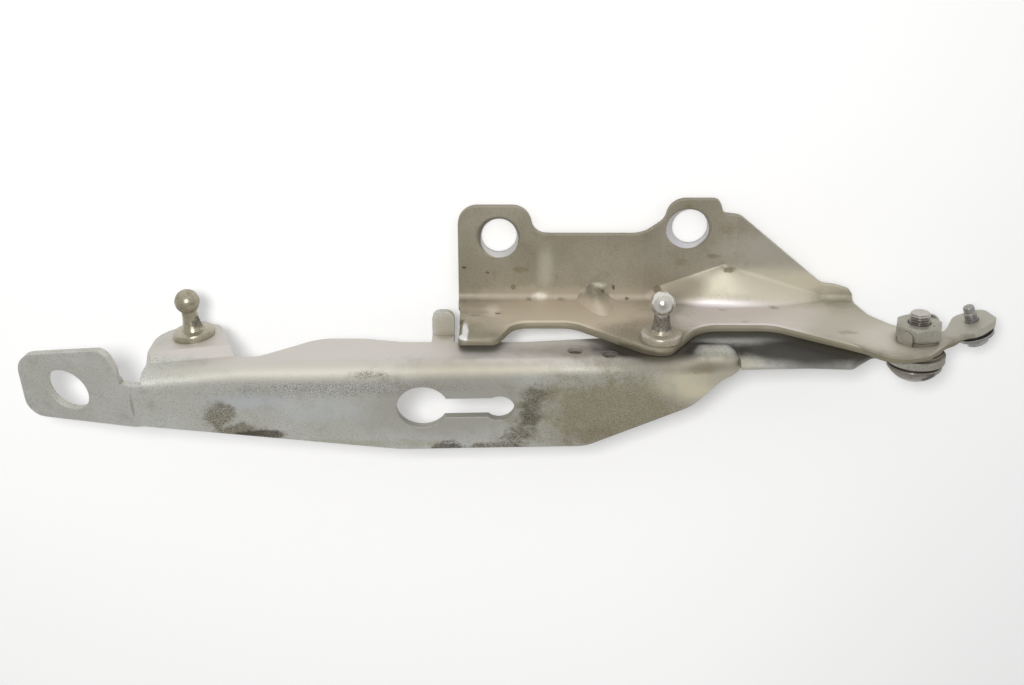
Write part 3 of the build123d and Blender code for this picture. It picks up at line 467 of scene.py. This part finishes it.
def stand(piece, foot, axis, across):
    """Stands a piece on its foot, with its Z along axis and its X along across."""
    along = Vector(axis).normalized()
    side = Vector(across).normalized()
    turn = Matrix((side, along.cross(side), along)).transposed().to_4x4()
    piece.matrix_world = Matrix.Translation(foot) @ turn
    bpy.ops.object.select_all(action="DESELECT")
    piece.select_set(True)
    bpy.context.view_layer.objects.active = piece
    bpy.ops.object.transform_apply(location=True, rotation=True, scale=True)


def soften(piece, width):
    """Rounds the sharp edges of a piece a little and smooths its turned faces."""
    bpy.ops.object.select_all(action="DESELECT")
    piece.select_set(True)
    bpy.context.view_layer.objects.active = piece
    if width:
        edge = piece.modifiers.new("edge", "BEVEL")
        edge.width = width
        edge.segments = 3
        edge.limit_method = "ANGLE"
        edge.angle_limit = math.radians(30)
        bpy.ops.object.modifier_apply(modifier=edge.name)
    bpy.ops.object.shade_smooth_by_angle(angle=math.radians(32))


bolt_low, bolt_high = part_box("pivot_bolt")
nut_low, nut_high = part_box("pivot_nut")
pivot = (bolt_low + bolt_high) / 2
outboard = Vector((0, 1, 0))
bolt_length = bolt_high.y - bolt_low.y
head_radius = (bolt_high.x - bolt_low.x) / 2
head_height = 0.0074
head_rim = 0.0014
head_edge = 0.0003
shoulder_radius = 0.006
shoulder_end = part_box("thrust_washer")[1].y - bolt_low.y
core_radius = 0.0032
core_end = bolt_length - 0.001
thread_radius = 0.004
thread_pitch = 0.001
thread_start = nut_low.y - bolt_low.y - 0.002
thread_chamfer = 0.0006
dome_height = head_height - head_rim
dome_radius = (head_radius**2 + dome_height**2) / (2 * dome_height)
dome_turn = math.asin(head_radius / dome_radius)
dome_steps = []
for step in range(1, 15):
    angle = dome_turn * step / 14
    dome_steps.append((dome_radius * (1 - math.cos(angle)), dome_radius * math.sin(angle)))
pivot_bolt = turned(
    "shoulder_bolt",
    (
        *dome_steps,
        (head_height - head_edge, head_radius),
        (head_height, head_radius - head_edge),
        (head_height, shoulder_radius),
        (shoulder_end, shoulder_radius),
        (shoulder_end, core_radius),
        (core_end, core_radius),
    ),
    96,
)
bolt_thread = threaded(
    "bolt_thread", thread_radius, thread_pitch, thread_start, bolt_length, thread_chamfer
)
cut(pivot_bolt, bolt_thread, "UNION")
stand(pivot_bolt, (pivot.x, bolt_low.y, pivot.z), outboard, (1, 0, 0))
soften(pivot_bolt, 0)
bolt_end = (pivot.x, bolt_high.y, pivot.z)
bolt_steel = coated_steel(
    "bolt_steel",
    (0.24, 0.22, 0.185, 1),
    (0.39, 0.365, 0.32, 1),
    (0.08, 0.065, 0.045, 1),
    (
        # rubbed end of the thread, oily patch and brown film on the dome
        (bolt_end, (0.006, 0.0030, 0.006), (0.52, 0.50, 0.46, 1), 0.85, 0.5, 0.4, 0, 0.3),
        ((0.1294, -0.0430, 0.0536), (0.0035, 0.004, 0.0035), (0.035, 0.03, 0.02, 1), 0.9, 0.5, 0.5, 0, 1),
        ((0.1180, -0.0430, 0.0500), (0.005, 0.004, 0.006), (0.14, 0.115, 0.08, 1), 0.6, 0.3, 0.6, 0.4, 1),
    ),
    metallic=0.75,
    roughness=0.3,
)
pivot_bolt.data.materials.append(bolt_steel)
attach(pivot_bolt, "bracket")
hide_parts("pivot_bolt")

# Pivot nut.
# Hexagon nut of dull zinc-plated steel, chamfered on both faces, with a countersunk thread.
# Its top is scratched and has one small pit.
nut_across_flats = 0.017
nut_turn = math.radians(17)
nut_height = nut_high.y - nut_low.y
nut_corner = nut_across_flats / 2 / math.cos(math.pi / 6)
bpy.ops.object.select_all(action="DESELECT")
bpy.ops.mesh.primitive_cylinder_add(
    vertices=6, radius=nut_corner, depth=nut_height, location=(0, 0, nut_height / 2)
)
pivot_nut = bpy.context.object
pivot_nut.name = "hexagon_nut"
bpy.ops.object.transform_apply(location=True, rotation=True, scale=True)
nut_face = nut_across_flats / 2 - 0.0003
nut_rim = nut_corner + 0.0002
nut_slope = (nut_rim - nut_face) * math.tan(math.radians(30))
# the blank reaches past the nut, so that no two faces lie in one plane
nut_over = 0.001
nut_end = nut_face - nut_over / math.tan(math.radians(30))
nut_chamfer = turned(
    "nut_chamfer",
    (
        (-nut_over, nut_end),
        (nut_slope, nut_rim),
        (nut_height - nut_slope, nut_rim),
        (nut_height + nut_over, nut_end),
    ),
    96,
)
cut(pivot_nut, nut_chamfer, "INTERSECT")
nut_bore_radius = thread_radius + 0.00002
nut_bore = turned(
    "nut_bore",
    (
        (-0.001, nut_bore_radius + 0.0008),
        (0.0008, nut_bore_radius),
        (nut_height - 0.0006, nut_bore_radius),
        (nut_height + 0.001, nut_bore_radius + 0.0016),
    ),
)
cut(pivot_nut, nut_bore)
nut_side = (math.cos(nut_turn), 0, math.sin(nut_turn))
stand(pivot_nut, (pivot.x, nut_low.y, pivot.z), outboard, nut_side)
nut_edge = 0.00025
soften(pivot_nut, nut_edge)
nut_zinc = coated_steel(
    "nut_zinc",
    (0.33, 0.315, 0.26, 1),
    (0.48, 0.46, 0.40, 1),
    (0.11, 0.095, 0.06, 1),
    (
        # the pit in the top and grime along the foot
        ((0.1306, -0.0225, 0.0490), (0.0006, 0.0004, 0.0005), (0.02, 0.016, 0.01, 1), 1.0, 0.5, 0.3, 0, 1),
        ((0.1260, -0.0285, 0.0500), (0.0110, 0.0016, 0.012), (0.10, 0.075, 0.05, 1), 0.7, 0.4, 0.7, 0.4, 1),
    ),
    metallic=0.5,
    roughness=0.42,
)
pivot_nut.data.materials.append(nut_zinc)
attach(pivot_nut, "bracket")
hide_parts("pivot_nut")

# Washers and bush of the pivot.
# The lock washer is plated like the nut. The plain washers are steel and the bush is bronze, all three
# dark with grease.
greasy_steel = coated_steel(
    "greasy_steel",
    (0.20, 0.185, 0.15, 1),
    (0.34, 0.32, 0.28, 1),
    (0.05, 0.04, 0.028, 1),
    (),
    roughness=0.4,
)
greasy_bronze = coated_steel(
    "greasy_bronze",
    (0.21, 0.185, 0.135, 1),
    (0.33, 0.30, 0.24, 1),
    (0.06, 0.045, 0.03, 1),
    (),
    metallic=0.7,
    roughness=0.4,
)
for node, finish in (
    ("lock_washer", nut_zinc),
    ("thrust_washer", greasy_steel),
    ("head_washer", greasy_steel),
    ("pivot_bush", greasy_bronze),
):
    frame["nodes"][node].data.materials.clear()
    frame["nodes"][node].data.materials.append(finish)

# Ball studs for the gas strut.
# Turned steel, riveted over behind the sheet: round ball with a small flat, waisted neck and wide collar.
# The arm's stud is tarnished all over, the bracket's one is bright on its ball and brown below.
mounts = {mount["name"]: mount for mount in frame["record"]["mounts"]}
ball_radius = 0.005
ball_flat = 0.0016
neck_radius = 0.0031
collar_radius = 0.0083
stud_seat = -0.015
collar_top = stud_seat + 0.003
sheet_back = stud_seat - 0.003
rivet_height = 0.0015
rivet_radius = 0.0056
shank_radius = 0.004
neck_flare = 0.0014
neck_turn = math.asin(neck_radius / ball_radius)
ball_turn = math.pi - neck_turn - math.asin(ball_flat / ball_radius)
stud_steps = [
    (sheet_back - rivet_height, rivet_radius - 0.0014),
    (sheet_back - rivet_height * 0.85, rivet_radius - 0.0006),
    (sheet_back - rivet_height * 0.4, rivet_radius),
    (sheet_back, rivet_radius),
    (sheet_back, shank_radius),
    (stud_seat, shank_radius),
    (stud_seat, collar_radius),
    (collar_top - 0.0009, collar_radius),
    (collar_top - 0.0003, collar_radius - 0.0003),
    (collar_top, collar_radius - 0.0010),
    (collar_top, neck_radius + neck_flare),
]
neck_top = -ball_radius * math.cos(neck_turn)
for step in range(1, 9):
    share = step / 8
    waist = neck_radius + neck_flare * (1 - share) ** 2.5
    stud_steps.append((collar_top + share * (neck_top - collar_top), waist))
for step in range(1, 17):
    angle = neck_turn + ball_turn * step / 16
    stud_steps.append((-ball_radius * math.cos(angle), ball_radius * math.sin(angle)))

arm_ball = Vector(mounts["arm_ball"]["pos_m"])
bracket_ball = Vector(mounts["bracket_ball"]["pos_m"])
arm_ball_axis = Vector(mounts["arm_ball"]["axis"])
arm_neck_side = arm_ball - arm_ball_axis * 0.0085 + Vector((0.002, 0, 0))
bracket_neck = bracket_ball - outboard * 0.0078
bracket_collar = bracket_ball - outboard * 0.0140
dull_ball = coated_steel(
    "dull_ball",
    (0.37, 0.335, 0.25, 1),
    (0.54, 0.50, 0.40, 1),
    (0.12, 0.095, 0.06, 1),
    (
        # tarnish over the ball and grime on the side of the neck
        (arm_ball, (0.0055, 0.0055, 0.0055), (0.15, 0.13, 0.09, 1), 0.8, 0.6, 1.2, 0.5, 1),
        (arm_neck_side, (0.0045, 0.0035, 0.006), soot_and_shade, 0.9, 0.4, 0.7, 0.2, 1),
    ),
    metallic=0.7,
    roughness=0.32,
)
bright_ball = coated_steel(
    "bright_ball",
    (0.60, 0.57, 0.51, 1),
    (0.68, 0.66, 0.62, 1),
    (0.18, 0.14, 0.09, 1),
    (
        # brown neck and tan collar below the bright ball
        (bracket_neck, (0.007, 0.0050, 0.007), (0.07, 0.052, 0.03, 1), 0.95, 0.7, 0.25, 0.25, 1),
        (bracket_collar, (0.012, 0.0038, 0.012), (0.26, 0.215, 0.145, 1), 0.92, 0.7, 0.4, 0.15, 0.9),
    ),
    metallic=0.85,
    roughness=0.2,
    grit=0.15,
)
for node, body, centre, axis, finish in (
    ("arm_ball_stud", "arm", arm_ball, arm_ball_axis, dull_ball),
    ("bracket_ball_stud", "bracket", bracket_ball, outboard, bright_ball),
):
    stud = turned(node.replace("_stud", "_pin"), stud_steps)
    stand(stud, centre, axis, axis.cross(Vector((1, 0, 0))))
    soften(stud, 0)
    stud.data.materials.append(finish)
    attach(stud, body)
    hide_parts(node)

# Screw of the outer ear.
# Hexagon screw put in from below, with a threaded lower half and a smooth pilot end.
# It is zinc plated and a little dirty.
screw_mount = mounts["outer_screw"]
screw_axis = Vector(screw_mount["axis"])
screw_chamfer = 0.0006
screw_length = screw_mount["dims"]["length_mm"] / 1000 + screw_chamfer
screw_seat = Vector(screw_mount["pos_m"]) - screw_axis * (screw_length - screw_chamfer) / 2
screw_radius = 0.00262
screw_core = 0.0021
screw_edge = 0.0003
pilot_start = screw_length * 0.5
pilot_radius = 0.0022
screw_pitch = 0.0008
ear_stack = 0.0067
screw_head = 0.0036
screw_flats = 0.008
screw_corner = screw_flats / 2 / math.cos(math.pi / 6)
screw_rim = screw_corner + 0.0001
screw_foot = -ear_stack - screw_head
bpy.ops.object.select_all(action="DESELECT")
bpy.ops.mesh.primitive_cylinder_add(
    vertices=6, radius=screw_corner, depth=screw_head, location=(0, 0, -ear_stack - screw_head / 2)
)
ear_screw = bpy.context.object
ear_screw.name = "ear_hexagon_screw"
bpy.ops.object.transform_apply(location=True, rotation=True, scale=True)
# this blank too reaches past the head
head_over = 0.0005
head_slope = 0.0006
head_face = screw_flats / 2 - 0.0002
head_end = head_face - (screw_rim - head_face) * head_over / head_slope
head_chamfer = turned(
    "screw_head_chamfer",
    (
        (screw_foot - head_over, head_end),
        (screw_foot + head_slope, screw_rim),
        (head_over - ear_stack, screw_rim),
    ),
)
cut(ear_screw, head_chamfer, "INTERSECT")
screw_shank = turned(
    "screw_shank",
    (
        (-ear_stack - screw_head / 2, screw_core),
        (pilot_start, screw_core),
        (pilot_start + screw_edge, pilot_radius),
        (screw_length - 0.0007, pilot_radius),
        (screw_length - screw_edge, pilot_radius - 0.0002),
        (screw_length, pilot_radius - 0.0008),
    ),
)
cut(ear_screw, screw_shank, "UNION")
screw_thread = threaded(
    "screw_thread", screw_radius, screw_pitch, -ear_stack - 0.0004, screw_length * 0.55, screw_edge
)
cut(ear_screw, screw_thread, "UNION")
stand(ear_screw, screw_seat, screw_axis, screw_axis.cross(Vector((0, 0, 1))))
soften(ear_screw, 0)
thread_middle = screw_seat + screw_axis * 0.0012
screw_zinc = coated_steel(
    "screw_zinc",
    (0.32, 0.31, 0.285, 1),
    (0.62, 0.61, 0.58, 1),
    (0.035, 0.03, 0.02, 1),
    ((thread_middle, (0.0036, 0.0030, 0.0036), (0.13, 0.12, 0.10, 1), 0.7, 0.6, 0.2, 0, 0.3),),
    metallic=0.7,
    roughness=0.33,
    worn_share=0.8,
)
ear_screw.data.materials.append(screw_zinc)
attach(ear_screw, "bracket")
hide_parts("ear_screw")

# Washers of the outer ear.
# A black rubber washer, dusty and a little perished, with a dull steel one below it.
black_rubber = bpy.data.materials.new("black_rubber")
black_rubber.use_nodes = True
rubber_shader = black_rubber.node_tree.nodes["Principled BSDF"]
rubber_place = add_node(black_rubber, "TexCoord").outputs["Object"]
rubber_dust = ramp(black_rubber, noise(black_rubber, rubber_place, 500.0, 4.0, 0.7), 0.45, 0.8)
rubber_colour = tint(black_rubber, rubber_dust, (0.012, 0.011, 0.009, 1), (0.06, 0.055, 0.042, 1))
black_rubber.node_tree.links.new(rubber_colour, rubber_shader.inputs["Base Color"])
rubber_shader.inputs["Roughness"].default_value = 0.7
rubber_pits = {"Height": rubber_dust, "Distance": 0.0001, "Strength": 0.4}
rubber_bump = add_node(black_rubber, "Bump", rubber_pits)
black_rubber.node_tree.links.new(rubber_bump.outputs[0], rubber_shader.inputs["Normal"])
for node, finish in (("ear_rubber_washer", black_rubber), ("ear_steel_washer", screw_zinc)):
    frame["nodes"][node].data.materials.clear()
    frame["nodes"][node].data.materials.append(finish)
